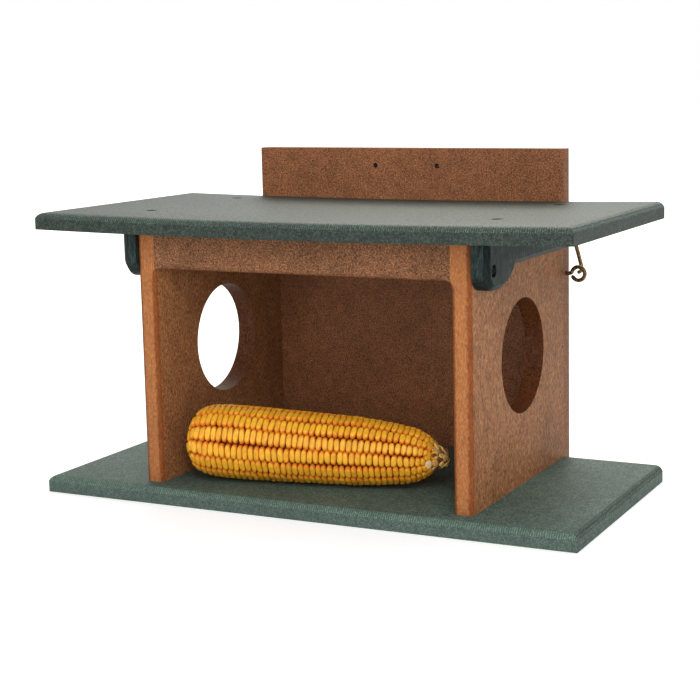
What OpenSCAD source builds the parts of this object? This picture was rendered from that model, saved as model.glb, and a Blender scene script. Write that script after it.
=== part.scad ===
// Squirrel feeder of plastic lumber boards, with a roof that lifts from the back,
// a hook and eye that hold the roof shut, and an ear of corn on the floor.
// Sizes are in millimetres. The front faces -Y and +Z is up.
// The origin is on the ground, under the middle of the outline.

/* [House] */
// Width over the two side panels
house_w = 270; // [220:1:340]
// Depth of the side panels, front to back
panel_d = 186.8; // [150:0.1:240]
// Height of the side panels above the base board
panel_h = 188.3; // [160:0.1:240]
// Thickness of the side panels
panel_t = 15; // [12:0.1:20]
// Height of the header board over the front opening
header_h = 25.4; // [18:0.1:40]
// Thickness of the header board
header_t = 15; // [12:0.1:20]
// Diameter of the round hole in each side panel
hole_d = 86; // [50:1:110]
// Distance of the round hole from the back board
hole_back = 88.6; // [70:0.1:110]
// Height of the round hole's centre above the base board
hole_up = 96.8; // [70:0.1:120]

/* [Base and back] */
// Width of the base board
base_w = 432; // [340:1:520]
// Depth of the base board
base_d = 201.4; // [190:0.1:260]
// Thickness of the base board
base_t = 12.7; // [10:0.1:20]
// Thickness of the back board
back_t = 12.7; // [10:0.1:20]
// Height of the back board
back_h = 256.9; // [235:0.1:320]
// Distance between the two wall holes
wall_hole_span = 55; // [30:1:120]
// Diameter of a wall hole
wall_hole_d = 4; // [3:0.1:7]
// Distance of the wall holes below the top of the back board
wall_hole_drop = 14.2; // [8:0.1:20]

/* [Roof] */
// Width of the roof board
roof_w = 427; // [340:1:520]
// Depth of the roof board
roof_d = 207.7; // [195:0.1:260]
// Thickness of the roof board
roof_t = 12.7; // [10:0.1:20]
// Gap between the roof board and the top of the side panels
roof_gap = 2.6; // [2.5:0.1:6]
// Gap between the roof board and the back board
roof_back_gap = 0.5; // [0.3:0.1:3]
// Shift of the roof board to the right
roof_shift = 2.5; // [-3:0.5:3]

/* [Routed edges] */
// Radius of the router bit for the outside edges
edge_r = 6.35; // [4:0.05:8]
// Width of the rounding on the face of the roof and base boards
board_run = 6; // [3:0.1:6.3]
// Width of the rounding on the front of the side panels
panel_run = 5.4; // [3:0.1:6.3]
// Radius of the rounding round the front opening
opening_r = 4.5; // [2:0.1:6]
// Radius that the bit's bearing leaves in the opening's top corners
bearing_r = 6.4; // [4:0.1:10]

/* [Roof rails] */
// Thickness of a roof rail
rail_t = 12.9; // [11:0.1:18]
// Gap between a rail and its side panel
rail_gap = 0.6; // [0.3:0.1:2]
// Distance that the rails reach past the fronts of the side panels
rail_front = 0.7; // [0:0.1:5]
// Distance between the rear ends of the rails and the back board
rail_back = 12; // [11:0.1:40]
// Height of a rail along its straight part
rail_h = 21; // [18:0.1:26]
// Height of a rail's front lobe
lobe_h = 34.9; // [32:0.1:40]
// Length of a rail's front lobe
lobe_d = 52.4; // [50:0.1:80]
// Radius of the lobe's lower front corner
nose_r = 14.6; // [6:0.1:15]
// Length of the flat underside of a lobe, behind its rounded nose
lobe_flat = 12; // [2:0.5:12]
// Width of the chamfer on a rail's outer edge
rail_chamfer = 3.9; // [1:0.1:5]

/* [Roof pivots] */
// Distance of the pivots behind the fronts of the side panels
pivot_in = 9.2; // [6:0.1:10]
// Distance of the pivots below the roof board
pivot_drop = 20.5; // [20.3:0.1:24]
// Diameter of a pivot screw's smooth shank
pivot_d = 4.8; // [4:0.1:6]
// Length of a pivot screw past the side panel's outer face
pivot_len = 25; // [20:0.5:40]
// Diameter of a pivot screw's head
pivot_head_d = 8; // [7:0.1:10]
// Height of a pivot screw's head
pivot_head_h = 3; // [2:0.1:4]
// Diameter of the counterbore for the head
counterbore_d = 9; // [8.4:0.1:12]
// Depth of the counterbore
counterbore_h = 5; // [3.5:0.1:7]
// Radial running clearance of a rail on its pivot screw
pivot_play = 0.05; // [0.01:0.01:0.1]

/* [Wood screws] */
// Diameter of a screw's shank
screw_d = 4.2; // [3:0.1:5]
// Diameter of a flat screw head
screw_head_d = 8.2; // [6:0.1:10]
// Length of the screws in the house
screw_len = 38; // [30:1:45]
// Length of the screws in the roof
roof_screw_len = 28; // [24:1:30]
// Clearance of a screw in its hole
screw_fit = 0.05; // [0.01:0.01:0.1]
// Diameter of the small pilot hole in a side panel
pilot_d = 2; // [1:0.1:3]
// Depth of the small pilot hole
pilot_h = 4; // [2:0.5:8]

/* [Hook and eyes] */
// Diameter of the brass wire
wire_d = 3.2; // [2:0.1:3.4]
// Outside diameter of a screw eye
eye_od = 13.8; // [11:0.1:16]
// Length of a screw eye's thread
eye_thread = 11; // [8:0.5:12]
// Gap between the ring of the catch eye and the back board's end
catch_neck = 3.2; // [2:0.1:6]
// Gap between the ring of the roof eye and the roof board
roof_eye_neck = 1.2; // [0.5:0.1:3]
// Height of the catch eye above the ground
catch_z = 159.3; // [120:0.1:180]
// Distance of the roof eye from the back board
roof_eye_in = 4; // [3.5:0.1:8]
// Distance of the hook from the end of the back board
hook_out = 9.5; // [8:0.1:14]
// Gap between the hook's tip and the back of the catch eye, unhooked
latch_gap = 0.8; // [0.4:0.1:2]
// Angle that the hook's tip turns through
hook_bend = 122; // [90:1:130]
// Radius of the bend at the hook's tip
hook_bend_r = 3; // [2.5:0.1:4]
// Length of the straight end of the hook
hook_tip = 4; // [3:0.1:6]
// Outside diameter of the hook's own ring
hook_ring_od = 11; // [9:0.1:12]

/* [Ear of corn] */
// Length of the ear with its bare tip
ear_l = 205; // [150:1:225]
// Largest diameter of the ear over its kernels
ear_d = 56.2; // [40:0.1:70]
// Number of kernel rows, in pairs
row_pairs = 7; // [6:1:9]
// Turn of the rows round the ear
row_turn = 2.4; // [0:0.1:25]
// Number of kernels in a row
kernel_n = 42; // [30:1:48]
// Width of the gap between two rows
row_gap = 1; // [0.6:0.1:2]
// Depth of a kernel
kernel_h = 8; // [5:0.1:11]
// Depth of the dip between two kernels of a row
dip_h = 1.5; // [0.5:0.1:3]
// Angle of the ear across the house
ear_turn = 9.4; // [0:0.1:15]
// Distance of the ear's middle in front of the back board
ear_front = 145; // [110:1:150]
// Shift of the ear's middle to the side
ear_shift = -9; // [-12:0.5:12]
// Gap between the ear and the floor
ear_lift = 0.45; // [0.3:0.05:1]

/* [Hidden] */
$fn = 64;
fine = 96;
e = 1;
half_w = house_w / 2;
inner_half = half_w - panel_t;
panel_top = base_t + panel_h;
roof_z = panel_top + roof_gap;
opening_top = panel_top - header_h;
y_shift = (roof_back_gap + roof_d - back_t) / 2;
rail_x = half_w + rail_gap;
rail_y0 = -panel_d - rail_front;
lobe_y1 = rail_y0 + lobe_d;
nose_y = rail_y0 + nose_r;
nose_z = roof_z - lobe_h + nose_r;
lobe_rise = lobe_h - rail_h;
lobe_y = nose_y + lobe_flat;
lobe_run = lobe_y1 - lobe_y;
lobe_r = (lobe_run * lobe_run + lobe_rise * lobe_rise) / (2 * lobe_rise);
lobe_z = roof_z - lobe_h + lobe_r;
pivot_y = -panel_d + pivot_in;
pivot_z = roof_z - pivot_drop;
roof_screw_x = rail_x + rail_t / 2;
roof_screw_front = 31.8;
roof_screw_rear = 30;
roof_screw_ys = [-panel_d + roof_screw_front, -roof_screw_rear];
header_screw_y = -panel_d + header_t / 2;
header_screw_drop = 6.5;
header_screw_z = panel_top - header_screw_drop;
pilot_in = 3;
pilot_up = 89.3;
pilot_y = -pilot_in;
pilot_z = base_t + pilot_up;
// Places of screws as shares of the panel's depth, its height and half the house's width.
base_screw_shares = [0.27, 0.75];
back_screw_shares = [0.25, 0.75];
floor_screw_share = 0.5;
head_h = (screw_head_d - screw_d) / 2;
rim_h = 0.4;
point_h = 5;
pivot_point_d = pivot_d / 4;
pivot_crown_d = pivot_head_d * 0.7;
recess_w = 1.3;
recess_l = 4.4;
recess_h = 1.6;
head_gap = 0.3;
tip_bevel = 0.6;
bend_lap = 0.3;
cup_h = 7;
cup_lip = 1.2;
wire_r = wire_d / 2;
eye_r = eye_od / 2 - wire_r;
ring_sweep = 330;
shank_slim = 0.07;
thread_slim = 0.1;
shank_r = wire_r - shank_slim;
thread_r = wire_r - thread_slim;
catch_x = half_w + catch_neck + eye_od / 2;
catch_off = 0.35;
catch_y = back_t / 2 - catch_off;
hook_x = half_w + hook_out;
roof_eye_z = roof_z - roof_eye_neck - eye_od / 2;
hook_y = -roof_eye_in;
hook_z = roof_eye_z - eye_r;
hook_ring_r = hook_ring_od / 2 - wire_r;
ring_slack = 0.4;
hook_over = 0.3;
hook_len = hook_z - catch_z + hook_over;
// Place of the hook's tip from its pivot while the hook hangs straight down.
tip_y = hook_bend_r * (cos(hook_bend) - 1) - hook_tip * sin(hook_bend);
tip_z = -hook_len - hook_bend_r * sin(hook_bend) - hook_tip * cos(hook_bend);
tip_r = sqrt(tip_y * tip_y + tip_z * tip_z);
// The hook leans back until its tip is just clear of the catch eye.
hook_lean = asin((catch_y + wire_r + latch_gap - hook_y) / tip_r) - atan2(tip_y, -tip_z);
ear_r = ear_d / 2;
grain_share = 0.94;
grain_l = ear_l * grain_share;
kernel_p = grain_l / kernel_n;
kernel_edge = 0.22;
core_least = 0.22;
rest_butt = 0.24;
rest_tip = 0.66;
ear_steps = [0, 0.03, 0.1, 0.24, 0.46, 0.66, 0.78, 0.87, grain_share];

// Radius over the kernels as a share of the largest one, along the ear from butt to tip.
function ear_share(s) = lookup(s / ear_l, [
    [0, 0.41], [0.01, 0.5], [0.03, 0.78], [0.06, 0.91], [0.1, 0.98], [0.16, 1],
    [0.24, 1], [0.46, 0.955], [0.66, 0.915], [0.78, 0.83], [0.87, 0.73], [0.92, 0.58],
    [0.96, 0.3], [1, 0.17]]);
function ear_at(s) = ear_r * ear_share(s);
function core_at(s) = max(ear_at(s) - kernel_h, core_least * ear_r);

// The ear leans a little, because its tip is thinner than its butt.
rest_r = ear_at(rest_butt * ear_l);
ear_fall = atan((rest_r - ear_at(rest_tip * ear_l)) / ((rest_tip - rest_butt) * ear_l));
ear_z = base_t + ear_lift + rest_r / cos(ear_fall) - (0.5 - rest_butt) * ear_l * sin(ear_fall);

// Shared shapes

module place() {
    translate([0, y_shift, 0]) children();
}

// Waste that the router bit takes off one straight edge, from the corner of the board inwards.
module edge_waste(len, r, run) {
    translate([0, 0, -len / 2])
        linear_extrude(len)
            difference() {
                translate([-e, -e]) square([run + e, r + e]);
                translate([run, r]) circle(r);
            }
}

// A board whose top edge is routed at the front and at both ends.
module routed_board(w, d, t, rear_y) {
    difference() {
        translate([-w / 2, rear_y - d, 0]) cube([w, d, t]);
        translate([0, rear_y - d, t]) rotate([-90, 0, 90])
            edge_waste(w + 2 * e, edge_r, board_run);
        for (side = [0, 1])
            mirror([side, 0, 0])
                translate([-w / 2, rear_y - d / 2, t]) rotate([-90, 0, 0])
                    edge_waste(d + 2 * e, edge_r, board_run);
    }
}

// Flat-head screw that points down from the origin. The same shape, grown a little, is its hole.
module screw_shape(len, grow) {
    rotate_extrude()
        polygon([[0, grow], [screw_head_d / 2 + grow, grow],
                 [screw_head_d / 2 + grow, -rim_h - grow],
                 [screw_d / 2 + grow, -rim_h - head_h - grow],
                 [screw_d / 2 + grow, -len + point_h - grow], [0, -len - 2 * grow]]);
}

module flat_screw(len) {
    difference() {
        screw_shape(len, 0);
        for (a = [0, 90])
            rotate([0, 0, a]) translate([-recess_l / 2, -recess_w / 2, -recess_h])
                cube([recess_l, recess_w, recess_h + e]);
    }
}

module base_screw_places() {
    for (side = [-1, 1])
        for (share = base_screw_shares)
            translate([side * (half_w - panel_t / 2), -panel_d * share, 0])
                rotate([180, 0, 0]) children();
}

module back_screw_places() {
    for (side = [-1, 1]) {
        for (share = back_screw_shares)
            translate([side * (half_w - panel_t / 2), back_t, base_t + panel_h * share])
                rotate([-90, 0, 0]) children();
        translate([side * half_w * floor_screw_share, back_t, base_t / 2])
            rotate([-90, 0, 0]) children();
    }
}

module header_screw_places() {
    for (side = [0, 1])
        mirror([side, 0, 0])
            translate([half_w, header_screw_y, header_screw_z]) rotate([0, 90, 0]) children();
}

module roof_screw_places() {
    for (side = [-1, 1])
        for (y = roof_screw_ys)
            translate([side * roof_screw_x, y, roof_z + roof_t]) children();
}

// Axis of the right pivot, with +Z pointing out of the rail.
module pivot_place() {
    translate([half_w, pivot_y, pivot_z]) rotate([0, 90, 0]) children();
}

module house_screw_holes() {
    base_screw_places() screw_shape(screw_len, screw_fit);
    back_screw_places() screw_shape(screw_len, screw_fit);
    header_screw_places() screw_shape(screw_len, screw_fit);
    for (side = [0, 1])
        mirror([side, 0, 0])
            pivot_place()
                translate([0, 0, -pivot_len - screw_fit])
                    cylinder(h = pivot_len + screw_fit + e, d = pivot_d + 2 * screw_fit);
}

// Waste of the rounding that runs up one side of the front opening, over it and down the other.
module opening_waste() {
    side_l = opening_top - bearing_r - base_t + e;
    top_l = 2 * (inner_half - bearing_r);
    for (side = [0, 1])
        mirror([side, 0, 0]) {
            translate([-inner_half, -panel_d, base_t - e + side_l / 2]) rotate([0, 180, 0])
                edge_waste(side_l, opening_r, opening_r);
            translate([inner_half - bearing_r, -panel_d, opening_top - bearing_r])
                rotate([-90, -90, 0])
                    rotate_extrude(angle = 90)
                        difference() {
                            translate([bearing_r - e, -e]) square([opening_r + e, opening_r + e]);
                            translate([bearing_r + opening_r, opening_r]) circle(opening_r);
                        }
        }
    translate([0, -panel_d, opening_top]) rotate([0, -90, 0])
        edge_waste(top_l, opening_r, opening_r);
}

// House

module base_board() {
    color([0.36, 0.42, 0.37]) place()
        difference() {
            routed_board(base_w, base_d, base_t, 0);
            house_screw_holes();
        }
}

module back_board() {
    color([0.5, 0.32, 0.22]) place()
        difference() {
            translate([-half_w, 0, 0]) cube([house_w, back_t, back_h]);
            for (side = [-1, 1])
                translate([side * wall_hole_span / 2, -e, back_h - wall_hole_drop])
                    rotate([-90, 0, 0]) cylinder(h = back_t + 2 * e, d = wall_hole_d);
            translate([half_w - eye_thread - screw_fit, catch_y, catch_z]) rotate([0, 90, 0])
                cylinder(h = eye_thread + e + screw_fit, r = thread_r + screw_fit);
            house_screw_holes();
        }
}

// Left panel: the right one is its mirror image.
module side_panel() {
    difference() {
        translate([-half_w, -panel_d, base_t]) cube([panel_t, panel_d, panel_h]);
        translate([-half_w, -panel_d, base_t + panel_h / 2])
            edge_waste(panel_h + 2 * e, edge_r, panel_run);
        translate([-half_w - e, -hole_back, base_t + hole_up]) rotate([0, 90, 0])
            cylinder(h = panel_t + 2 * e, d = hole_d, $fn = fine);
        translate([-half_w - e, pilot_y, pilot_z]) rotate([0, 90, 0])
            cylinder(h = pilot_h + e, d = pilot_d);
        opening_waste();
        house_screw_holes();
    }
}

module left_side_panel() {
    color([0.5, 0.32, 0.22]) place() side_panel();
}

module right_side_panel() {
    color([0.5, 0.32, 0.22]) place() mirror([1, 0, 0]) side_panel();
}

module front_header() {
    color([0.5, 0.32, 0.22]) place()
        difference() {
            translate([-inner_half, -panel_d, opening_top])
                cube([2 * inner_half, header_t, header_h]);
            opening_waste();
            house_screw_holes();
        }
}

module base_screws() {
    color([0.6, 0.6, 0.6]) place() base_screw_places() flat_screw(screw_len);
}

module back_screws() {
    color([0.6, 0.6, 0.6]) place() back_screw_places() flat_screw(screw_len);
}

module header_screws() {
    color([0.6, 0.6, 0.6]) place() header_screw_places() flat_screw(screw_len);
}

// Wire bent to a ring of mean radius r round the origin, in the X-Y plane, with one end open.
// The shank leaves the ring along -X and is a hair thinner than the ring's wire.
module wire_ring(r, foot) {
    rotate([0, 0, 180]) mirror([0, 1, 0])
        rotate_extrude(angle = ring_sweep) translate([r, 0]) circle(wire_r);
    translate([-foot, 0, 0]) rotate([0, 90, 0]) cylinder(h = foot - r, r = shank_r);
}

// Screw eye with its ring's middle at the origin and its thread along -X.
module screw_eye(neck) {
    foot = eye_od / 2 + neck;
    wire_ring(eye_r, foot);
    translate([-foot - eye_thread, 0, 0]) rotate([0, 90, 0])
        cylinder(h = eye_thread, r = thread_r);
}

module catch_eye() {
    color([0.5, 0.4, 0.25]) place()
        translate([catch_x, catch_y, catch_z]) rotate([90, 0, 0]) screw_eye(catch_neck);
}

// Roof

module rail_slab(inset) {
    translate([rail_y0 + inset, nose_z]) square([nose_r - inset, roof_z - nose_z]);
    translate([nose_y, nose_z]) circle(nose_r - inset);
    translate([nose_y, nose_z - nose_r + inset]) square([lobe_flat, lobe_h - inset]);
    intersection() {
        translate([lobe_y, lobe_z]) circle(lobe_r - inset, $fn = fine);
        translate([lobe_y, nose_z - nose_r]) square([lobe_run, lobe_h]);
    }
    translate([nose_y, roof_z - rail_h + inset])
        square([-rail_back - nose_y, rail_h - inset]);
}

// Outer layer of a rail, with its front and lower edges chamfered.
module rail_chamfered_layer() {
    c = rail_chamfer;
    translate([0, nose_z, 0]) rotate([-90, 0, 0])
        linear_extrude(roof_z - nose_z)
            polygon([[rail_y0, 0], [rail_y0 + c, -c], [nose_y, -c], [nose_y, 0]]);
    translate([nose_y, nose_z, 0]) cylinder(h = c, r1 = nose_r, r2 = nose_r - c);
    translate([nose_y, nose_z - nose_r, 0]) rotate([90, 0, 90])
        linear_extrude(lobe_flat)
            polygon([[0, 0], [c, c], [lobe_h, c], [lobe_h, 0]]);
    intersection() {
        translate([lobe_y, lobe_z, 0])
            cylinder(h = c, r1 = lobe_r, r2 = lobe_r - c, $fn = fine);
        translate([lobe_y, nose_z - nose_r, 0]) cube([lobe_run, lobe_h, c]);
    }
    translate([nose_y, roof_z - rail_h, 0]) rotate([90, 0, 90])
        linear_extrude(-rail_back - nose_y)
            polygon([[0, 0], [c, c], [rail_h, c], [rail_h, 0]]);
}

module right_rail() {
    difference() {
        translate([rail_x, 0, 0]) rotate([90, 0, 90]) {
            linear_extrude(rail_t - rail_chamfer) rail_slab(0);
            translate([0, 0, rail_t - rail_chamfer]) rail_chamfered_layer();
        }
        pivot_place() cylinder(h = rail_gap + rail_t + e, d = pivot_d + 2 * pivot_play);
        pivot_place() translate([0, 0, rail_gap + rail_t - counterbore_h])
            cylinder(h = counterbore_h + e, d = counterbore_d);
        roof_screw_places() screw_shape(roof_screw_len, screw_fit);
    }
}

module left_roof_rail() {
    color([0.36, 0.42, 0.37]) place() mirror([1, 0, 0]) right_rail();
}

module right_roof_rail() {
    color([0.36, 0.42, 0.37]) place() right_rail();
}

module roof_board() {
    color([0.36, 0.42, 0.37]) place()
        difference() {
            translate([roof_shift, 0, roof_z]) routed_board(roof_w, roof_d, roof_t, -roof_back_gap);
            roof_screw_places() screw_shape(roof_screw_len, screw_fit);
            translate([hook_x, hook_y, roof_z - e])
                cylinder(h = e + eye_thread + screw_fit, r = thread_r + screw_fit);
        }
}

module roof_screws() {
    color([0.4, 0.45, 0.4]) place() roof_screw_places() flat_screw(roof_screw_len);
}

module pivot_screw() {
    head_z = rail_gap + rail_t - counterbore_h + head_gap;
    pivot_place()
        difference() {
            union() {
                translate([0, 0, -pivot_len])
                    cylinder(h = point_h, d1 = pivot_point_d, d2 = pivot_d);
                translate([0, 0, point_h - pivot_len])
                    cylinder(h = pivot_len - point_h + head_z + head_gap, d = pivot_d);
                translate([0, 0, head_z]) cylinder(h = pivot_head_h / 2, d = pivot_head_d);
                translate([0, 0, head_z + pivot_head_h / 2])
                    cylinder(h = pivot_head_h / 2, d1 = pivot_head_d, d2 = pivot_crown_d);
            }
            for (a = [0, 90])
                rotate([0, 0, a])
                    translate([-recess_l / 2, -recess_w / 2, head_z + pivot_head_h - recess_h])
                        cube([recess_l, recess_w, recess_h + e]);
        }
}

module left_pivot_screw() {
    color([0.3, 0.3, 0.3]) place() mirror([1, 0, 0]) pivot_screw();
}

module right_pivot_screw() {
    color([0.3, 0.3, 0.3]) place() pivot_screw();
}

module roof_eye() {
    color([0.5, 0.4, 0.25]) place()
        translate([hook_x, hook_y, roof_eye_z]) rotate([0, 90, 0]) rotate([90, 0, 0])
            screw_eye(roof_eye_neck);
}

// Hook, drawn hanging straight down in the Y-Z plane and then leaned back.
module latch_hook() {
    color([0.5, 0.4, 0.25]) place()
        translate([hook_x, hook_y, hook_z]) rotate([hook_lean, 0, 0]) {
            translate([0, 0, -ring_slack]) rotate([0, -90, 0])
                wire_ring(hook_ring_r, hook_len + bend_lap - ring_slack);
            rotate([90, 0, 90]) translate([-hook_bend_r, -hook_len, 0])
                rotate([0, 0, -hook_bend]) {
                    rotate_extrude(angle = hook_bend)
                        translate([hook_bend_r, 0]) circle(wire_r);
                    translate([hook_bend_r, bend_lap, 0]) rotate([90, 0, 0]) {
                        cylinder(h = bend_lap + hook_tip - tip_bevel, r = shank_r);
                        translate([0, 0, bend_lap + hook_tip - tip_bevel])
                            cylinder(h = tip_bevel, r1 = shank_r, r2 = shank_r - tip_bevel);
                    }
                }
        }
}

// Ear of corn

// Turns an ear that stands on its butt until it lies in its place.
module lay_ear() {
    translate([ear_shift, -ear_front, ear_z])
        rotate([0, 0, ear_turn]) rotate([0, 90 + ear_fall, 0])
            translate([0, 0, -ear_l / 2]) children();
}

module cob_core() {
    color([0.75, 0.6, 0.4]) place() lay_ear()
        rotate_extrude()
            polygon(concat([[0, 0]], [for (s = ear_steps) [core_at(s * ear_l), s * ear_l]],
                           [[0, grain_l]]));
}

module cob_tip() {
    root_r = ear_at(grain_l) - dip_h;
    waist_z = (grain_l + ear_l) / 2;
    mouth_r = ear_at(ear_l);
    color([0.35, 0.22, 0.12]) place() lay_ear()
        rotate_extrude()
            polygon([[0, grain_l], [root_r, grain_l], [ear_at(waist_z), waist_z],
                     [mouth_r, ear_l], [mouth_r - cup_lip, ear_l],
                     [mouth_r - 2 * cup_lip, ear_l - cup_h], [0, ear_l - cup_h]]);
}

module kernel_rows() {
    color([0.86, 0.6, 0.15]) place() lay_ear()
        difference() {
            rotate_extrude()
                polygon(concat(
                    [for (k = [0 : kernel_n - 1]) each [
                        [ear_at(k * kernel_p) - dip_h, k * kernel_p],
                        [ear_at((k + kernel_edge) * kernel_p), (k + kernel_edge) * kernel_p],
                        [ear_at((k + 1 - kernel_edge) * kernel_p), (k + 1 - kernel_edge) * kernel_p]]],
                    [[ear_at(grain_l) - dip_h, grain_l]],
                    [for (i = [len(ear_steps) - 1 : -1 : 0])
                        [core_at(ear_steps[i] * ear_l), ear_steps[i] * ear_l]]));
            for (i = [0 : row_pairs - 1])
                rotate([0, 0, row_turn + i * 180 / row_pairs])
                    translate([-ear_r - e, -row_gap / 2, -e])
                        cube([2 * (ear_r + e), row_gap, grain_l + 2 * e]);
        }
}

base_board();
back_board();
left_side_panel();
right_side_panel();
front_header();
base_screws();
back_screws();
header_screws();
catch_eye();
roof_board();
left_roof_rail();
right_roof_rail();
roof_screws();
roof_eye();
left_pivot_screw();
right_pivot_screw();
latch_hook();
cob_core();
cob_tip();
kernel_rows();
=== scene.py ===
import bpy, bmesh, math, random
from mathutils import Matrix, Vector


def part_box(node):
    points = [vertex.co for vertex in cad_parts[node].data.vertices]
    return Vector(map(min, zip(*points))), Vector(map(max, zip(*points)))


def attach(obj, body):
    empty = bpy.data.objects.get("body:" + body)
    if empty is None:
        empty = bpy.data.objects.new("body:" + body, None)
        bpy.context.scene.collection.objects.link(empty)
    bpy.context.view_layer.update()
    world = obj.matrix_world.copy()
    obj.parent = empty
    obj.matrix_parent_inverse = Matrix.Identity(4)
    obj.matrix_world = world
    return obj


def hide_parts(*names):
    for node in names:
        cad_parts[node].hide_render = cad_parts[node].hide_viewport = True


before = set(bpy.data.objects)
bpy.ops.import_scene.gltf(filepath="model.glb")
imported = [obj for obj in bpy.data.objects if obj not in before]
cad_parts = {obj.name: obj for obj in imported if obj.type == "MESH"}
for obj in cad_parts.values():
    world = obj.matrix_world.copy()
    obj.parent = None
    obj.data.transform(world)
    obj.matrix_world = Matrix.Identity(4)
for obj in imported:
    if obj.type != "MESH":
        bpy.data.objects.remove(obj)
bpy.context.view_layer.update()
scene = bpy.context.scene

# Base board: a wide flat board of green recycled plastic lumber that carries everything.
# It is sawn to size, and a router rounds its top edge at the front and at both ends.
board_arris = 0.0004
# What softens a CAD board: facets that meet flatter than flat_angle are merged, edges sharper than
# arris_angle are eased, and faces that meet sharper than crease_angle are shaded apart.
weld_gap = 0.000002
flat_angle = math.radians(0.4)
arris_angle = math.radians(32)
crease_angle = math.radians(14)
hole_inset = 0.005


def softened_board(node, arris, slices):
    """A copy of a CAD board with its flat facets merged, its arrises eased and cut in slices along X."""
    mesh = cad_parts[node].data.copy()
    bm = bmesh.new()
    bm.from_mesh(mesh)
    bmesh.ops.remove_doubles(bm, verts=bm.verts, dist=weld_gap)
    bmesh.ops.dissolve_limit(bm, angle_limit=flat_angle, verts=bm.verts, edges=bm.edges)
    sharp = [e for e in bm.edges if len(e.link_faces) == 2 and e.calc_face_angle() > arris_angle]
    bmesh.ops.bevel(bm, geom=sharp, offset=arris, segments=2, profile=0.6, affect="EDGES", clamp_overlap=True)
    low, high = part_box(node)
    for i in range(1, slices):
        cut = Vector((low.x + (high.x - low.x) * i / slices, 0, 0))
        whole = bm.verts[:] + bm.edges[:] + bm.faces[:]
        bmesh.ops.bisect_plane(bm, geom=whole, plane_co=cut, plane_no=(1, 0, 0))
    bm.to_mesh(mesh)
    bm.free()
    mesh.shade_smooth()
    mesh.set_sharp_from_angle(angle=crease_angle)
    mesh.materials.clear()
    return mesh


def mark_hole_walls(mesh, node):
    """Marks the faces that lie well inside a board's box: its holes' walls, and on a rail its lower edge."""
    low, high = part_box(node)
    marks = []
    for face in mesh.polygons:
        inside = all(low[i] + hole_inset < face.center[i] < high[i] - hole_inset for i in range(3))
        marks.append(float(inside))
    mesh.attributes.new("hole_wall", "FLOAT", "FACE").data.foreach_set("value", marks)


def stand_in(name, mesh, material, node, body):
    """Puts a mesh in the scene as the piece that stands for a CAD node and rides on a body."""
    mesh.materials.append(material)
    piece = bpy.data.objects.new(name, mesh)
    scene.collection.objects.link(piece)
    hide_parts(node)
    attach(piece, body)
    return piece


def fit_board(node, material, body, arris=board_arris, slices=1):
    """Puts a softened board in the place of its CAD node."""
    mesh = softened_board(node, arris, slices)
    mark_hole_walls(mesh, node)
    return stand_in(node + "_eased", mesh, material, node, body)


def feed(tree, socket, value):
    """Links a node's output to a socket, or sets a plain value on it."""
    if isinstance(value, bpy.types.NodeSocket):
        tree.links.new(value, socket)
    else:
        socket.default_value = value


def add(tree, kind, inputs, **settings):
    """A new shader node with its settings made and its inputs fed."""
    node = tree.nodes.new("ShaderNode" + kind)
    for key, value in settings.items():
        setattr(node, key, value)
    for key, value in inputs.items():
        feed(tree, node.inputs[key], value)
    return node


def calc(tree, how, *values):
    """The result of one sum, such as MULTIPLY, on one to three values."""
    node = add(tree, "Math", {}, operation=how)
    for socket, value in zip(node.inputs, values):
        feed(tree, socket, value)
    return node.outputs[0]


def remap(tree, value, low, high, to_low=0.0, to_high=1.0):
    """Eases a value that runs from low to high into one that runs from to_low to to_high."""
    spans = {"Value": value, "From Min": low, "From Max": high, "To Min": to_low, "To Max": to_high}
    return add(tree, "MapRange", spans, interpolation_type="SMOOTHSTEP").outputs["Result"]


def mixed(tree, share, a, b, how="MIX"):
    """A share of colour b over colour a."""
    colors = {"Factor": share, "A": a, "B": b}
    return add(tree, "Mix", colors, data_type="RGBA", blend_type=how).outputs["Result"]


def tinted(tree, color, tint):
    """A colour multiplied by another."""
    return mixed(tree, 1.0, color, tint, "MULTIPLY")


def grey(tree, level):
    """A grey of a level, where 0 is black and 1 is white."""
    return add(tree, "CombineColor", {"Red": level, "Green": level, "Blue": level}).outputs["Color"]


def cloud(tree, place, scale, detail=2.0, rough=0.5):
    """Soft noise from 0 to 1, with about scale spots in a metre."""
    spots = {"Vector": place, "Scale": scale, "Detail": detail, "Roughness": rough}
    return add(tree, "TexNoise", spots).outputs["Fac"]


def roughen(tree, shader, strength, depth, height):
    """Gives a surface fine relief that is depth metres deep."""
    bump = add(tree, "Bump", {"Strength": strength, "Distance": depth, "Height": height})
    feed(tree, shader.inputs["Normal"], bump.outputs[0])


def effect(name, inputs, outputs):
    """A new node group with named sockets, and the sockets inside it for what it is given and makes."""
    group = bpy.data.node_groups.new(name, "ShaderNodeTree")
    for kind, title, value in inputs:
        socket = group.interface.new_socket(name=title, in_out="INPUT", socket_type="NodeSocket" + kind)
        if value is not None:
            socket.default_value = value
    for kind, title in outputs:
        group.interface.new_socket(name=title, in_out="OUTPUT", socket_type="NodeSocket" + kind)
    return group, group.nodes.new("NodeGroupInput").outputs, group.nodes.new("NodeGroupOutput").inputs


def new_finish(name):
    """A new material, its node tree and its surface shader."""
    mat = bpy.data.materials.new(name)
    mat.use_nodes = True
    return mat, mat.node_tree, mat.node_tree.nodes["Principled BSDF"]


def srgb(r, g, b):
    """A screen colour, each part from 0 to 255, as a shader's colour."""
    return tuple(((c / 255 + 0.055) / 1.055) ** 2.4 for c in (r, g, b)) + (1.0,)


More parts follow.
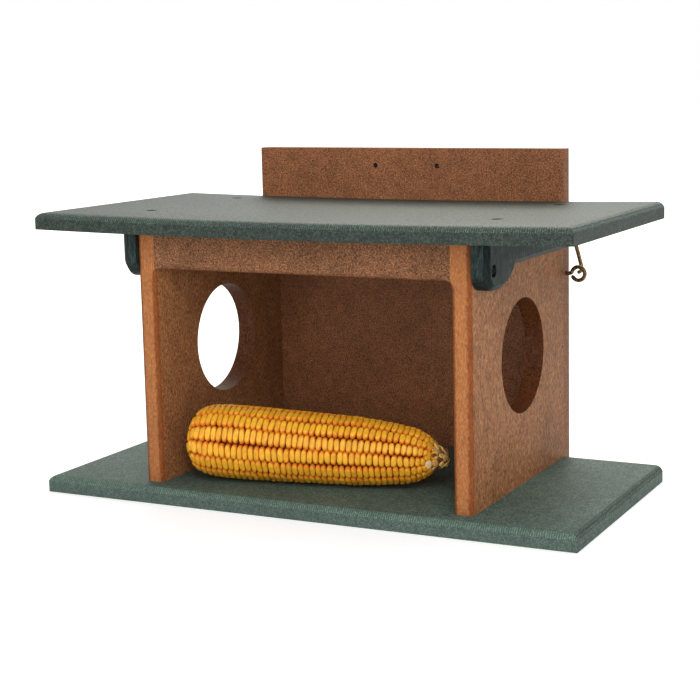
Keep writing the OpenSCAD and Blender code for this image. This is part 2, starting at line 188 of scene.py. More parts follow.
# Grains of pale and dark recycled plastic in the board's own colour, in faint patches and mottles.
# The coarse grains are the dark ones.
speckle, given, made = effect("lumber_speckle", [
    ("Vector", "Place", None), ("Color", "Body", (0.1, 0.1, 0.1, 1)),
    ("Color", "Pale grain", (0.3, 0.3, 0.3, 1)), ("Color", "Dark grain", (0.02, 0.02, 0.02, 1)),
    ("Float", "Grain", 900.0)],
    [("Color", "Color"), ("Float", "Height"), ("Float", "Roughness")])
coarse_share = 0.62
patch_scale = 13.0
mottle_scale = 120.0
fine = cloud(speckle, given["Place"], given["Grain"], 3.0, 0.6)
coarse = cloud(speckle, given["Place"], calc(speckle, "MULTIPLY", given["Grain"], coarse_share), 2.0)
ground = mixed(speckle, remap(speckle, coarse, 0.56, 0.34), given["Body"], given["Dark grain"])
ground = mixed(speckle, remap(speckle, fine, 0.44, 0.66), ground, given["Pale grain"])
patches = remap(speckle, cloud(speckle, given["Place"], patch_scale, 3.0), 0.32, 0.70, 0.89, 1.11)
mottles = remap(speckle, cloud(speckle, given["Place"], mottle_scale), 0.35, 0.65, 0.91, 1.09)
tone = grey(speckle, calc(speckle, "MULTIPLY", patches, mottles))
feed(speckle, made["Color"], tinted(speckle, ground, tone))
feed(speckle, made["Height"], fine)
feed(speckle, made["Roughness"], remap(speckle, coarse, 0.3, 0.7, 0.46, 0.62))

# Marks of the saw and the router, told by where a face points. Rib is the fine ribs across the rounded strip
# on top, End the strip at both ends, Front the sawn front, and Round the routed edges beside the front, which
# carry a board's painted shade.
# Front and Round reach back to the place Tinted up to on Y, and everywhere lies far behind the feeder.
everywhere = 10.0
chatter, given, made = effect("router_chatter", [
    ("Vector", "Place", None), ("Vector", "Facing", None), ("Vector", "Run", (1, 0, 0)),
    ("Float", "Pitch", 0.0017), ("Float", "Tinted up to", everywhere)],
    [("Float", "Rib"), ("Float", "Front"), ("Float", "Round"), ("Float", "End")])
rib_wander = 7.0
wander_scale = 70.0
along = add(chatter, "VectorMath", {0: given["Place"], 1: given["Run"]}, operation="DOT_PRODUCT")
pitches = calc(chatter, "DIVIDE", along.outputs["Value"], given["Pitch"])
turns = calc(chatter, "MULTIPLY", pitches, 2 * math.pi)
wander = calc(chatter, "MULTIPLY_ADD", cloud(chatter, given["Place"], wander_scale), rib_wander, turns)
wave = calc(chatter, "MULTIPLY_ADD", calc(chatter, "SINE", wander), 0.5, 0.5)
facing = add(chatter, "SeparateXYZ", {0: given["Facing"]}).outputs
off_top = remap(chatter, facing["Z"], 0.99, 0.90)
off_side = remap(chatter, facing["Z"], 0.05, 0.25)
strip = calc(chatter, "MULTIPLY", off_top, off_side)
at_end = remap(chatter, calc(chatter, "ABSOLUTE", facing["X"]), 0.1, 0.25)
depth = add(chatter, "SeparateXYZ", {0: given["Place"]}).outputs["Y"]
in_front = calc(chatter, "LESS_THAN", depth, given["Tinted up to"])
flat_front = remap(chatter, facing["Y"], -0.88, -0.99)
off_front = calc(chatter, "MULTIPLY", in_front, remap(chatter, facing["Y"], -0.99, -0.86))
feed(chatter, made["Rib"], calc(chatter, "MULTIPLY", strip, wave))
feed(chatter, made["End"], calc(chatter, "MULTIPLY", strip, at_end))
feed(chatter, made["Front"], calc(chatter, "MULTIPLY", in_front, flat_front))
feed(chatter, made["Round"], calc(chatter, "MULTIPLY", off_front, remap(chatter, facing["Y"], -0.08, -0.3)))

no_tint = (1, 1, 1, 1)
grain_depth = 0.0004
rib_relief = 0.9


def lumber(name, body, pale, dark, grain=900.0, stretch=(1, 1, 1), gloss=0.5, bump=0.3, rib_tone=1.0,
           end_tone=1.0, sawn=no_tint, routed_shade=no_tint, bored_shade=no_tint, planed=0.0, tinted_to=everywhere):
    """A speckled board material with the marks of the saw, the router and the drill.

    grain is about how many grains there are in a metre. A stretch under 1 draws them out along that axis.
    rib_tone is how light the router's ribs are, which also stand out where it is over 1, and end_tone is how
    light the rounded strips at both ends are.
    sawn tints the sawn front. The routed and bored tints are painted shade that darkens its rounded edges and
    the walls of holes, and the first two tints end at tinted_to on Y. planed is the share of the grain that
    the saw and the router wipe off there.
    """
    mat, t, shader = new_finish(name)
    spot = add(t, "TexCoord", {}).outputs
    spread = add(t, "Mapping", {"Vector": spot["Object"], "Scale": stretch}).outputs[0]
    plastic = {"Place": spread, "Body": body, "Pale grain": pale, "Dark grain": dark, "Grain": grain}
    grains = add(t, "Group", plastic, node_tree=speckle)
    cuts = {"Place": spot["Object"], "Facing": spot["Normal"], "Tinted up to": tinted_to}
    marks = add(t, "Group", cuts, node_tree=chatter)
    color = grains.outputs["Color"]
    wiped = mixed(t, planed, color, body)
    color = mixed(t, marks.outputs["Front"], color, tinted(t, wiped, sawn))
    # Painted shade: the routed tint darkens the rounded edges beside the front, which turn away from the
    # lamps.
    color = mixed(t, marks.outputs["Round"], color, tinted(t, wiped, routed_shade))
    hole_wall = add(t, "Attribute", {}, attribute_name="hole_wall").outputs["Fac"]
    # Painted shade: the bored tint darkens the walls of holes, as if shade filled them.
    color = mixed(t, hole_wall, color, tinted(t, color, bored_shade))
    color = tinted(t, color, grey(t, remap(t, marks.outputs["Rib"], 0.0, 1.0, 1.0, rib_tone)))
    color = tinted(t, color, grey(t, remap(t, marks.outputs["End"], 0.0, 1.0, 1.0, end_tone)))
    feed(t, shader.inputs["Base Color"], color)
    feed(t, shader.inputs["Roughness"], grains.outputs["Roughness"])
    rib_height = rib_relief if rib_tone > 1 else 0.0
    height = calc(t, "MULTIPLY_ADD", marks.outputs["Rib"], rib_height, grains.outputs["Height"])
    roughen(t, shader, bump, grain_depth, height)
    shader.inputs["Specular IOR Level"].default_value = gloss
    return mat


base_green = lumber("base_green", srgb(66, 82, 74), srgb(100, 119, 108), srgb(40, 53, 47), gloss=0.16,
                    bump=0.45, rib_tone=1.8, end_tone=0.42, sawn=(1.22, 1.18, 1.22, 1), planed=0.5)
fit_board("base_board", base_green, "house")

# Screws that hold the boards: countersunk steel screws with a cross recess.
# Four come up through the base, six through the back board and one through each panel into the header.


def steel(name, color, metallic, roughness, gloss=0.5):
    """A steel finish with fine grime and an uneven rub."""
    mat, t, shader = new_finish(name)
    place = add(t, "TexCoord", {}).outputs["Object"]
    grime = remap(t, cloud(t, place, 900.0, 3.0), 0.35, 0.7, 0.75, 1.1)
    rub = remap(t, cloud(t, place, 1600.0, 2.0), 0.3, 0.7, roughness - 0.08, roughness + 0.1)
    feed(t, shader.inputs["Base Color"], tinted(t, color, grey(t, grime)))
    feed(t, shader.inputs["Roughness"], rub)
    shader.inputs["Metallic"].default_value = metallic
    shader.inputs["Specular IOR Level"].default_value = gloss
    return mat


def coat(node, material):
    """Gives a CAD node that stays in view its finish."""
    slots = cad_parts[node].data.materials
    slots.clear()
    slots.append(material)


zinc = steel("screw_zinc", srgb(176, 176, 172), 1.0, 0.36)
for node in ("base_screws", "back_screws", "header_screws"):
    coat(node, zinc)

# Back board: brown plastic lumber that stands behind the base and rises over the roof.
# Two wall holes are drilled near its top, and the catch eye is screwed into its right end.
# Painted shade: the walls of its two wall holes are tinted almost black.
back_brown = lumber("back_board_brown", srgb(119, 73, 45), srgb(164, 110, 74), srgb(88, 52, 31), gloss=0.18,
                    bored_shade=(0.12, 0.10, 0.10, 1))
fit_board("back_board", back_brown, "house")

# Side panels: brown lumber with a big round hole each and routed front edges.
# They stand on the base board and are screwed from below and from behind.
tint_depth = 0.008
# Painted shade: the panels' routed front edges are tinted a darker, deeper orange.
panel_brown = lumber("side_panel_brown", srgb(139, 91, 56), srgb(178, 125, 84), srgb(100, 60, 35),
                     stretch=(1, 1, 0.45), gloss=0.14, sawn=(1.28, 1.16, 0.98, 1),
                     routed_shade=(0.80, 0.54, 0.33, 1), bored_shade=(0.34, 0.24, 0.19, 1), planed=0.6,
                     tinted_to=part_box("left_side_panel")[0].y + tint_depth)
# Painted shade: the walls of the panels' big holes are tinted dark brown.
for side in ("left", "right"):
    fit_board(side + "_side_panel", panel_brown, "house")

# Front header: a strip of brown lumber between the side panels, over the front opening.
# Its lower edge is routed in one pass with the inner edges of the panels.
header_brown = lumber("header_brown", srgb(108, 69, 44), srgb(156, 108, 73), srgb(74, 45, 28), gloss=0.18)
fit_board("front_header", header_brown, "house")

# Pivot screws: a blackened pan-head screw at each side, sunk in the rail and driven into the panel.
# The roof turns on their smooth shanks.
black_steel = steel("pivot_screw_black", srgb(60, 62, 60), 0.7, 0.45)
for side in ("left", "right"):
    coat(side + "_pivot_screw", black_steel)

# Catch eye: an open screw eye of brass-coloured wire in the back board's right end.
# Its wire bows up from the thread and curls over to a ring that stays a little open.
wire_r = 0.0016
wire_sides = 14
ring_r = 0.0053
ring_stop = -150
neck_r = 0.003
neck_turn = 66.75
before_neck = 0.0002
# A wire's rounded end: each ring's share of the radius, and how far it stands past the path, in radii.
wire_end = ((0.25, 0.9), (0.72, 0.55))

brass, t, shader = new_finish("brass_wire")
place = add(t, "TexCoord", {}).outputs["Object"]
tarnish = remap(t, cloud(t, place, 420.0, 3.0), 0.42, 0.62)
feed(t, shader.inputs["Base Color"], mixed(t, tarnish, srgb(138, 113, 72), srgb(72, 58, 38)))
feed(t, shader.inputs["Roughness"], remap(t, cloud(t, place, 700.0, 2.0), 0.3, 0.7, 0.36, 0.55))
shader.inputs["Metallic"].default_value = 1.0


def bent_wire(name, points, node, body):
    """A round brass wire along a path, with rounded ends, that stands for a CAD node."""
    verts, faces = [], []
    first = (points[1] - points[0]).normalized()
    side = first.orthogonal().normalized()
    rings = [(points[0] - first * wire_r * past, first, wire_r * share) for share, past in wire_end]
    for i, p in enumerate(points):
        ahead = (points[min(i + 1, len(points) - 1)] - points[max(i - 1, 0)]).normalized()
        rings.append((p, ahead, wire_r))
    last = rings[-1][1]
    rings += [(points[-1] + last * wire_r * past, last, wire_r * share) for share, past in reversed(wire_end)]
    for p, ahead, r in rings:
        side = (side - ahead * side.dot(ahead)).normalized()
        other = ahead.cross(side)
        for k in range(wire_sides):
            a = 2 * math.pi * k / wire_sides
            verts.append(p + (side * math.cos(a) + other * math.sin(a)) * r)
    for j in range(len(rings) - 1):
        for k in range(wire_sides):
            a, b = j * wire_sides + k, j * wire_sides + (k + 1) % wire_sides
            faces.append((a, b, b + wire_sides, a + wire_sides))
    faces.append(tuple(range(wire_sides - 1, -1, -1)))
    faces.append(tuple(range((len(rings) - 1) * wire_sides, len(rings) * wire_sides)))
    mesh = bpy.data.meshes.new(name)
    mesh.from_pydata(verts, [], faces)
    mesh.shade_smooth()
    stand_in(name, mesh, brass, node, body)


def arc(middle, radius, start, stop, step=7):
    """Points of a flat arc, with its angles in degrees, anticlockwise when stop is above start."""
    count = max(2, round(abs(stop - start) / step))
    angles = [math.radians(start + (stop - start) * i / count) for i in range(count + 1)]
    return [(middle[0] + radius * math.cos(a), middle[1] + radius * math.sin(a)) for a in angles]


def screw_eye_path(middle, out, over, thread_end):
    """A screw eye's wire, from the end of its thread to the open end of its ring.

    out points away from the thread, over is the side that the neck bows to, and thread_end is how far
    the thread's end lies from the ring's middle.
    """
    meet = math.degrees(math.asin((1 - math.cos(math.radians(neck_turn))) * neck_r / ring_r))
    neck_x = -ring_r * math.cos(math.radians(meet)) - neck_r * math.sin(math.radians(neck_turn))
    flat = [(-thread_end, 0), (neck_x - before_neck, 0)]
    flat += arc((neck_x, neck_r), neck_r, -90, -90 + neck_turn, 9)[:-1]
    flat += arc((0, 0), ring_r, 180 - meet, ring_stop)
    return [Vector(middle) + Vector(out) * a + Vector(over) * b for a, b in flat]


low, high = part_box("catch_eye")
catch_ring = (high.x - ring_r - wire_r, (low.y + high.y) / 2, (low.z + high.z) / 2)
catch_path = screw_eye_path(catch_ring, (1, 0, 0), (0, 0, 1), catch_ring[0] - low.x - wire_r)
bent_wire("catch_eye_wire", catch_path, "catch_eye", "house")

# Roof: a green board with routed edges, on two rails that hang outside the side panels.
# The rails are cut with a front lobe that takes the pivot, and are screwed from above.
roof_slices = 24
bow_height = 0.0023
rail_arris = 0.0003
roof_green = lumber("roof_green", srgb(33, 44, 38), srgb(58, 72, 63), srgb(19, 26, 22), gloss=0.32, bump=0.5,
                    rib_tone=2.4)
# Painted shade: the rails' chamfered front edges are tinted a dark grey-green.
rail_green = lumber("rail_green", srgb(34, 46, 44), srgb(54, 69, 66), srgb(22, 31, 30), grain=800.0,
                    stretch=(1, 1, 0.22), gloss=0.12, routed_shade=(0.4, 0.42, 0.42, 1))


def bow(board, rise, held):
    """Bends a long board up at its ends, level with the flat one at held metres from its middle."""
    xs = [v.co.x for v in board.data.vertices]
    middle, half = (min(xs) + max(xs)) / 2, (max(xs) - min(xs)) / 2
    for v in board.data.vertices:
        v.co.z += rise * (((v.co.x - middle) / half) ** 2 - (held / half) ** 2)


roof = fit_board("roof_board", roof_green, "roof", slices=roof_slices)
rail_low, rail_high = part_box("right_roof_rail")
bow(roof, bow_height, (rail_low.x + rail_high.x) / 2)
for side in ("left", "right"):
    fit_board(side + "_roof_rail", rail_green, "roof", arris=rail_arris)

# Roof screws: four countersunk screws, sunk flush with the top of the roof board.
# Their heads are coloured almost black and matt: painted shade, so they read as dark sunk holes.
coat("roof_screws", steel("roof_screw_painted_shade", srgb(30, 36, 32), 0.0, 0.85, gloss=0.05))

# Roof eye: a screw eye of the same brass-coloured wire as the catch eye.
# It is driven up into the roof board, and its ring hangs below to carry the hook.
low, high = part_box("roof_eye")
roof_ring = ((low.x + high.x) / 2, (low.y + high.y) / 2, low.z + ring_r + wire_r)
roof_path = screw_eye_path(roof_ring, (0, 0, -1), (1, 0, 0), high.z - roof_ring[2] - wire_r)
bent_wire("roof_eye_wire", roof_path, "roof_eye", "roof")

# Latch hook: one piece of the same wire, with a small ring that hangs in the roof eye.
# Its straight shank ends in a bend that drops through the catch eye's ring.
hook_ring_r = 0.0039
hook_ring_from, hook_ring_to = -50, 235
hook_crank = 0.0008
hook_neck = 0.0026
hook_len = 0.0312
hook_bend_r = 0.003
hook_bend = 122
hook_tip = 0.0034
hook_lean = math.radians(36.5)
ring_slack = 0.0004
ring_foot = -ring_slack - hook_ring_r
hook_flat = arc((0, -ring_slack), hook_ring_r, hook_ring_from, hook_ring_to)
hook_flat += [(-hook_crank, ring_foot - hook_crank), (0, ring_foot - hook_neck), (0, -hook_len)]
hook_flat += arc((-hook_bend_r, -hook_len), hook_bend_r, 0, -hook_bend, 12)[1:]
end_turn = math.radians(-90 - hook_bend)
bend_x, bend_z = hook_flat[-1]
hook_flat.append((bend_x + hook_tip * math.cos(end_turn), bend_z + hook_tip * math.sin(end_turn)))
hang = Matrix.Translation((roof_ring[0], roof_ring[1], roof_ring[2] - ring_r))
hang = hang @ Matrix.Rotation(hook_lean, 4, "X")
bent_wire("latch_hook_wire", [hang @ Vector((0, a, b)) for a, b in hook_flat], "latch_hook", "hook")

# Ear of corn: a dried ear that lies on its side on the floor, a little turned, with its butt to the left.
# The bare cob inside shows only between the rows and as a broken scar at the butt.
ear_len = 0.205
ear_r = 0.0281
ear_turn = math.radians(9.4)
ear_shift = -0.009
ear_front = 0.145
ear_lift = 0.00045
butt_rest = 0.24
tip_rest = 0.66
rows_round = 14
row_turn = math.radians(2.4)
# The outline over the kernels: shares of the ear's length, and of its largest radius there.
ear_form = [(0, 0.41), (0.01, 0.5), (0.03, 0.78), (0.06, 0.91), (0.1, 0.98), (0.16, 1), (0.24, 1),
            (0.46, 0.955), (0.66, 0.915), (0.78, 0.83), (0.87, 0.73), (0.92, 0.58), (0.96, 0.3), (1, 0.17)]


def ear_at(share):
    """Radius over the kernels at a share of the ear's length."""
    for (a, ra), (b, rb) in zip(ear_form, ear_form[1:]):
        if share <= b:
            return ear_r * (ra + (rb - ra) * (share - a) / (b - a))
    return ear_r * ear_form[-1][1]


# The ear lies on the floor at both rests, so it nods towards its thin end.
ear_fall = math.atan((ear_at(butt_rest) - ear_at(tip_rest)) / ((tip_rest - butt_rest) * ear_len))
ear_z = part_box("base_board")[1].z + ear_lift + ear_at(butt_rest) / math.cos(ear_fall)
ear_z -= (0.5 - butt_rest) * ear_len * math.sin(ear_fall)
lay = Matrix.Translation((ear_shift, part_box("back_board")[0].y - ear_front, ear_z))
lay = lay @ Matrix.Rotation(ear_turn, 4, "Z") @ Matrix.Rotation(math.pi / 2 + ear_fall, 4, "Y")
lay = lay @ Matrix.Translation((0, 0, -ear_len / 2))

# The outline walked from butt to tip in even steps and smoothed, as length along and radius. way is the
# distance walked at each step.
walk_steps = 820
smooth_reach = 8
slope_reach = 14
raw = [(ear_len * i / walk_steps, ear_at(i / walk_steps)) for i in range(walk_steps + 1)]
walk = []
for i in range(walk_steps + 1):
    near = raw[max(0, i - smooth_reach):i + smooth_reach + 1]
    walk.append((sum(p[0] for p in near) / len(near), sum(p[1] for p in near) / len(near)))
way = [0.0]
for a, b in zip(walk, walk[1:]):
    way.append(way[-1] + math.hypot(b[0] - a[0], b[1] - a[1]))


def on_ear(distance):
    """Length along, radius, and the slope of the outline at a walked distance from the butt."""
    i = min(range(len(way)), key=lambda k: abs(way[k] - distance))
    a, b = walk[max(0, i - slope_reach)], walk[min(walk_steps, i + slope_reach)]
    slope = Vector((b[0] - a[0], b[1] - a[1])).normalized()
    return walk[i][0], walk[i][1], slope


husk, t, shader = new_finish("cob_husk")
place = add(t, "TexCoord", {}).outputs["Object"]
fibre = cloud(t, place, 900.0, 4.0, 0.7)
husk_color = mixed(t, remap(t, fibre, 0.35, 0.65), srgb(158, 78, 30), srgb(200, 124, 60))
feed(t, shader.inputs["Base Color"], husk_color)
feed(t, shader.inputs["Roughness"], remap(t, fibre, 0.3, 0.7, 0.6, 0.85))
roughen(t, shader, 0.6, 0.0006, fibre)
coat("cob_core", husk)

# Kernels: fourteen rows of pillow-shaped yellow grains that sit close along a row, with orange flanks
# and deep grooves between the rows. They are rounder and uneven over the butt and smaller at the tip.
dice = random.Random(11)
# Each ring of a kernel: its depth under the crown in mm, and its size along and across the row.
full_kernel = ((-5.0, 0.92, 1.30), (-2.7, 1.0, 1.27), (-1.5, 0.98, 1.20), (-0.85, 0.94, 1.08),
               (-0.42, 0.86, 0.96), (-0.13, 0.70, 0.80), (0.0, 0.38, 0.46))
# How square a kernel is from above: 2 is an ellipse.
square_form = 2.8
round_form = 2.15


def heap():
    """An empty store for the points and faces of many kernels, with a depth and a tone for each point."""
    return {"verts": [], "faces": [], "rise": [], "tone": []}


def grow(store, place, half_along, half_across, form, rings, dent, tone, sides=14):
    """Adds one kernel. place has its crown's middle as origin and Z pointing out of the ear."""
    start = len(store["verts"])
    for depth, along, across in rings:
        for k in range(sides):
            a = 2 * math.pi * k / sides
            c, s = math.cos(a), math.sin(a)
            x = math.copysign(abs(c) ** (2 / form), c) * half_along * along
            y = math.copysign(abs(s) ** (2 / form), s) * half_across * across
            store["verts"].append(place @ Vector((x, y, depth / 1000)))
            store["rise"].append(depth)
            store["tone"].append(tone)
    store["verts"].append(place @ Vector((0, 0, -dent)))
    store["rise"].append(rings[-1][0])
    store["tone"].append(tone)
    for j in range(len(rings) - 1):
        for k in range(sides):
            a, b = start + j * sides + k, start + j * sides + (k + 1) % sides
            store["faces"].append((a, b, b + sides, a + sides))
    top = start + len(rings) * sides
    for k in range(sides):
        store["faces"].append((top - sides + k, top - sides + (k + 1) % sides, top))
    store["faces"].append(tuple(start + k for k in range(sides - 1, -1, -1)))


def seat(distance, angle, sink, twist=0.0, nod=0.0, lean=0.0):
    """The place of a kernel at a walked distance and an angle round the ear."""
    s, r, slope = on_ear(distance)
    c, n = math.cos(angle), math.sin(angle)
    along = Vector((slope.y * c, slope.y * n, slope.x))
    out = Vector((slope.x * c, slope.x * n, -slope.y))
    across = out.cross(along)
    at = Vector((r * c, r * n, s)) - out * sink
    local = Matrix((along, across, out)).transposed().to_4x4()
    tilt = Matrix.Rotation(twist, 4, "Z") @ Matrix.Rotation(nod, 4, "Y") @ Matrix.Rotation(lean, 4, "X")
    return lay @ Matrix.Translation(at) @ local @ tilt


def gather(store, name, material, node):
    """Makes one piece of all the kernels in a store."""
    mesh = bpy.data.meshes.new(name)
    mesh.from_pydata(store["verts"], [], store["faces"])
    for key in ("rise", "tone"):
        mesh.attributes.new(key, "FLOAT", "POINT").data.foreach_set("value", store[key])
    mesh.shade_smooth()
    stand_in(name, mesh, material, node, "corn_ear")


# Ten loose grains in a ring close the butt, ahead of the rows.
corn = heap()
butt_grains = 10
butt_ring = 0.0038
butt_half_along = 0.0035
butt_half_across = 0.0040
for k in range(butt_grains):
    angle = 2 * math.pi * (k + dice.uniform(-0.15, 0.15)) / butt_grains
    distance = butt_ring + dice.uniform(-0.0006, 0.0006)
    place = seat(distance, angle, dice.uniform(0.0002, 0.0008), dice.uniform(-0.3, 0.3))
    grow(corn, place, butt_half_along, butt_half_across, round_form, full_kernel, 0.0, dice.uniform(0.2, 0.7))

# Each row sways a little, starts about half a grain before or after its neighbours, and has its own cleft.
# at_tip runs from 0 where the grains begin to shrink to 1 at the ear's end, and wild is how uneven they are.
row_start = 0.0098
row_end = way[int(0.93 * walk_steps)]
odd_start, even_start = 0.0012, -0.0010
grain_pitch = 0.00458
butt_longer = 0.0023
tip_shorter = 0.0013
long_zone = 0.12
wild_zone = 0.14
tip_from = 0.84
row_sway = 0.030
row_sways = 9
row_fill = 0.98
groove_half = 0.00085
groove_full_r = 0.026
for row in range(rows_round):
    phase = dice.uniform(0, 6.28)
    cleft = dice.choice((0.0, 0.0, 0.00015, 0.0005))
    distance = row_start + (odd_start if row % 2 else even_start)
    while distance < row_end:
        share = distance / way[-1]
        at_tip = max(0, (share - tip_from) / (1 - tip_from))
        pitch = grain_pitch + butt_longer * max(0, 1 - share / long_zone) - tip_shorter * at_tip
        pitch *= dice.uniform(0.95, 1.05)
        middle = distance + pitch / 2
        radius = on_ear(middle)[1]
        width = 2 * math.pi * radius / rows_round
        turn = 2 * math.pi * (row + 0.5) / rows_round
        angle = row_turn + turn + row_sway * math.sin(phase + row_sways * share)
        angle += dice.uniform(-0.012, 0.012)
        groove = (groove_half + cleft) * min(1, radius / groove_full_r) + dice.uniform(0, 0.0003)
        wild = max(0, 1 - share / wild_zone) + 0.8 * at_tip
        sink = dice.uniform(0, 0.00035) + wild * dice.uniform(0, 0.0011)
        twist = dice.gauss(0, 0.045 + 0.16 * wild)
        nod = dice.gauss(0, 0.03 + 0.08 * wild)
        place = seat(middle, angle, sink, twist, nod, dice.gauss(0, 0.03))
        half_along = pitch / 2 * row_fill
        half_across = width / 2 - groove
        form = square_form - 0.75 * min(1, wild)
        dent = dice.choice((0, 0, 0.0001, 0.0003))
        grow(corn, place, half_along, half_across, form, full_kernel, dent, dice.uniform(0, 1))
        distance += pitch

# Where the rows end, the last full grains are round and sit in two rings round the tip. One is bleached.
tip_rings = (0.0030, 0.0078)
tip_grain_width = 0.0074
tip_half_along = 0.0029
tip_gap = 0.0003
bleached_grain = (0, 8)
bleach = 1.3
for ring, past in enumerate(tip_rings):
    distance = row_end + past
    radius = on_ear(distance)[1]
    count = round(2 * math.pi * radius / tip_grain_width)
    for k in range(count):
        angle = 2 * math.pi * (k + 0.5 * ring + dice.uniform(-0.12, 0.12)) / count
        at = distance + dice.uniform(-0.0004, 0.0004)
        place = seat(at, angle, dice.uniform(0, 0.0009), dice.gauss(0, 0.15), dice.gauss(0, 0.1))
        tone = dice.uniform(0, 0.8) + bleach * ((ring, k) == bleached_grain)
        half_across = math.pi * radius / count - tip_gap
        grow(corn, place, tip_half_along, half_across, round_form, full_kernel, 0.0, tone)

# The skin of a kernel: rise is the depth under its crown in mm, and tone its own shade, over 1 if bleached.
crown_edge = -0.25
flank_top = -1.3
flank_foot = -3.4
kernel, t, shader = new_finish("corn_kernel")
rise = add(t, "Attribute", {}, attribute_name="rise").outputs["Fac"]
tone = add(t, "Attribute", {}, attribute_name="tone").outputs["Fac"]
place = add(t, "TexCoord", {}).outputs["Object"]
crown = mixed(t, remap(t, tone, 0.0, 1.0), srgb(216, 140, 22), srgb(231, 167, 34))
# Painted highlight: each crown turns paler towards its top.
crown = mixed(t, remap(t, rise, -0.5, -0.02, 0.0, 0.55), crown, srgb(233, 180, 50))
flank = mixed(t, remap(t, rise, flank_foot, flank_top), srgb(192, 92, 14), srgb(216, 124, 20))
skin = mixed(t, remap(t, rise, flank_top, crown_edge), flank, crown)
skin = mixed(t, remap(t, tone, 1.1, bleach, 0.0, 0.6), skin, srgb(232, 214, 176))
mottle = grey(t, remap(t, cloud(t, place, 260.0, 3.0), 0.3, 0.7, 0.86, 1.1))
feed(t, shader.inputs["Base Color"], tinted(t, skin, mottle))
shine = remap(t, cloud(t, place, 500.0, 2.0), 0.3, 0.7, 0.32, 0.5)
feed(t, shader.inputs["Roughness"], calc(t, "ADD", shine, remap(t, rise, -0.4, -1.0, 0.0, 0.4)))
roughen(t, shader, 0.3, 0.0003, cloud(t, place, 800.0, 2.0))
shader.inputs["Subsurface Weight"].default_value = 0.2
shader.inputs["Subsurface Radius"].default_value = (1.0, 0.45, 0.12)
shader.inputs["Subsurface Scale"].default_value = 0.0018
shader.inputs["Specular IOR Level"].default_value = 0.35
gather(corn, "corn_kernels", kernel, "kernel_rows")

# Tip of the ear: a crown of withered kernels, thin, brown and hollow, round the end of the cob.
# Their dry skins stand open towards the tip.
flake = ((-2.2, 0.55, 0.5), (-1.1, 0.92, 0.9), (-0.35, 1.0, 1.0), (0.0, 0.86, 0.82), (0.1, 0.55, 0.5))
flake_form = 2.1
flake_half_across = 0.0021
# Each ring of flakes: how many, how far from the ear's end, half of their length and how far they stand open.
flake_rings = ((10, 0.0088, 0.0032, 0.10), (8, 0.0064, 0.0034, 0.20), (7, 0.0042, 0.0036, 0.32),
               (6, 0.0022, 0.0038, 0.5), (4, 0.0006, 0.0034, 0.75))
chaff = heap()
for count, back, half_along, nod in flake_rings:
    for k in range(count):
        angle = 2 * math.pi * (k + dice.uniform(-0.3, 0.3)) / count
        distance = way[-1] - back + dice.uniform(-0.0008, 0.0008)
        place = seat(distance, angle, dice.uniform(0.0, 0.0006), dice.uniform(-0.35, 0.35),
                     nod + dice.gauss(0, 0.08), dice.gauss(0, 0.15))
        long = half_along * dice.uniform(0.8, 1.15)
        wide = flake_half_across * dice.uniform(0.7, 1.2)
        grow(chaff, place, long, wide, flake_form, flake, 0.0, dice.uniform(0, 1), sides=10)

chaff_skin, t, shader = new_finish("withered_kernel")
rise = add(t, "Attribute", {}, attribute_name="rise").outputs["Fac"]
tone = add(t, "Attribute", {}, attribute_name="tone").outputs["Fac"]
place = add(t, "TexCoord", {}).outputs["Object"]
dry = mixed(t, remap(t, tone, 0.25, 0.75), srgb(122, 74, 32), srgb(230, 184, 104))
hollow = mixed(t, remap(t, rise, -1.6, -0.5), srgb(92, 50, 20), dry)
stain = grey(t, remap(t, cloud(t, place, 700.0, 3.0), 0.3, 0.7, 0.6, 1.15))
feed(t, shader.inputs["Base Color"], tinted(t, hollow, stain))
feed(t, shader.inputs["Roughness"], remap(t, cloud(t, place, 600.0), 0.3, 0.7, 0.55, 0.8))
roughen(t, shader, 0.5, 0.0004, cloud(t, place, 1100.0, 3.0))
gather(chaff, "withered_tip", chaff_skin, "cob_tip")

# Studio: a floor that glows white from glow_from outwards and keeps the feeder's shadow, three soft round
# lamps, and an even white world. The camera stands where the photograph was taken from.
floor_half = 12
floor_drop = 0.0002
glow_from, glow_full = 0.6, 3.0
floor_mesh = bpy.data.meshes.new("studio_floor")
bm = bmesh.new()
bmesh.ops.create_grid(bm, x_segments=8, y_segments=8, size=floor_half)
bm.to_mesh(floor_mesh)
bm.free()
floor = bpy.data.objects.new("studio_floor", floor_mesh)
scene.collection.objects.link(floor)
floor.location.z = -floor_drop
white, t, shader = new_finish("studio_floor")
shader.inputs["Base Color"].default_value = (0.9, 0.9, 0.9, 1)
shader.inputs["Roughness"].default_value = 1
shader.inputs["Emission Color"].default_value = (1, 1, 1, 1)
seen = add(t, "LightPath", {}).outputs["Is Camera Ray"]
far = add(t, "VectorMath", {0: add(t, "TexCoord", {}).outputs["Object"]}, operation="LENGTH").outputs["Value"]
glow = remap(t, far, glow_from, glow_full, 0.3, 1.0)
feed(t, shader.inputs["Emission Strength"], calc(t, "MULTIPLY", seen, glow))
floor_mesh.materials.append(white)

lamp_aim = Vector((0, 0, 0.1))


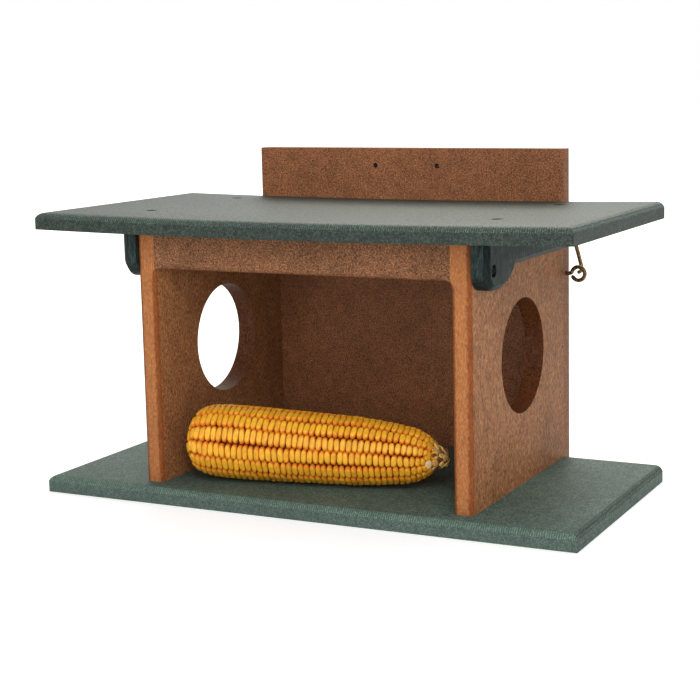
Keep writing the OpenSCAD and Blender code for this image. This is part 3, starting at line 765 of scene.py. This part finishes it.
def lamp(name, place, size, power, color=(1, 1, 1)):
    """A round soft lamp that points at the middle of the feeder."""
    data = bpy.data.lights.new(name, "AREA")
    data.shape, data.size, data.energy, data.color = "DISK", size, power, color
    obj = bpy.data.objects.new(name, data)
    obj.location = place
    obj.rotation_euler = (lamp_aim - Vector(place)).to_track_quat("-Z", "Y").to_euler()
    scene.collection.objects.link(obj)


sky_light = 0.62
lamp("key_light", (1.0, -1.5, 1.5), 0.9, 19)
lamp("fill_light", (0.45, -1.9, 0.64), 1.2, 11)
lamp("top_light", (-0.3, 1.0, 1.4), 1.5, 22, (1, 0.97, 0.86))
world = bpy.data.worlds.new("studio_world")
scene.world = world
world.use_nodes = True
t = world.node_tree
ray = add(t, "LightPath", {}).outputs
seen = calc(t, "MAXIMUM", ray["Is Camera Ray"], ray["Is Glossy Ray"])
seen = calc(t, "MAXIMUM", seen, ray["Is Transmission Ray"])
sky = t.nodes["Background"]
sky.inputs["Color"].default_value = (1, 1, 1, 1)
feed(t, sky.inputs["Strength"], remap(t, seen, 0.0, 1.0, sky_light, 1.0))

eye_place = Vector((0.5496, -1.06545, 0.3147))
eye_turn, eye_tip, eye_roll = math.radians(25.0923), math.radians(8.6085), math.radians(-0.9357)
lens = 81.336
lens_shift = (-0.0912, -0.0497)
up = Vector((0, 0, 1))
ahead = Vector((-math.sin(eye_turn), math.cos(eye_turn), 0))
right = Vector((math.cos(eye_turn), math.sin(eye_turn), 0))
view = ahead * math.cos(eye_tip) - up * math.sin(eye_tip)
above = up * math.cos(eye_tip) + ahead * math.sin(eye_tip)
level = right * math.cos(eye_roll) + above * math.sin(eye_roll)
upright = above * math.cos(eye_roll) - right * math.sin(eye_roll)
cam = bpy.data.cameras.new("camera")
cam.sensor_width = 36
cam.lens = lens
cam.shift_x, cam.shift_y = lens_shift
eye = bpy.data.objects.new("camera", cam)
scene.collection.objects.link(eye)
eye.matrix_world = Matrix.Translation(eye_place) @ Matrix((level, upright, -view)).transposed().to_4x4()
scene.camera = eye
scene.view_settings.view_transform = "Standard"
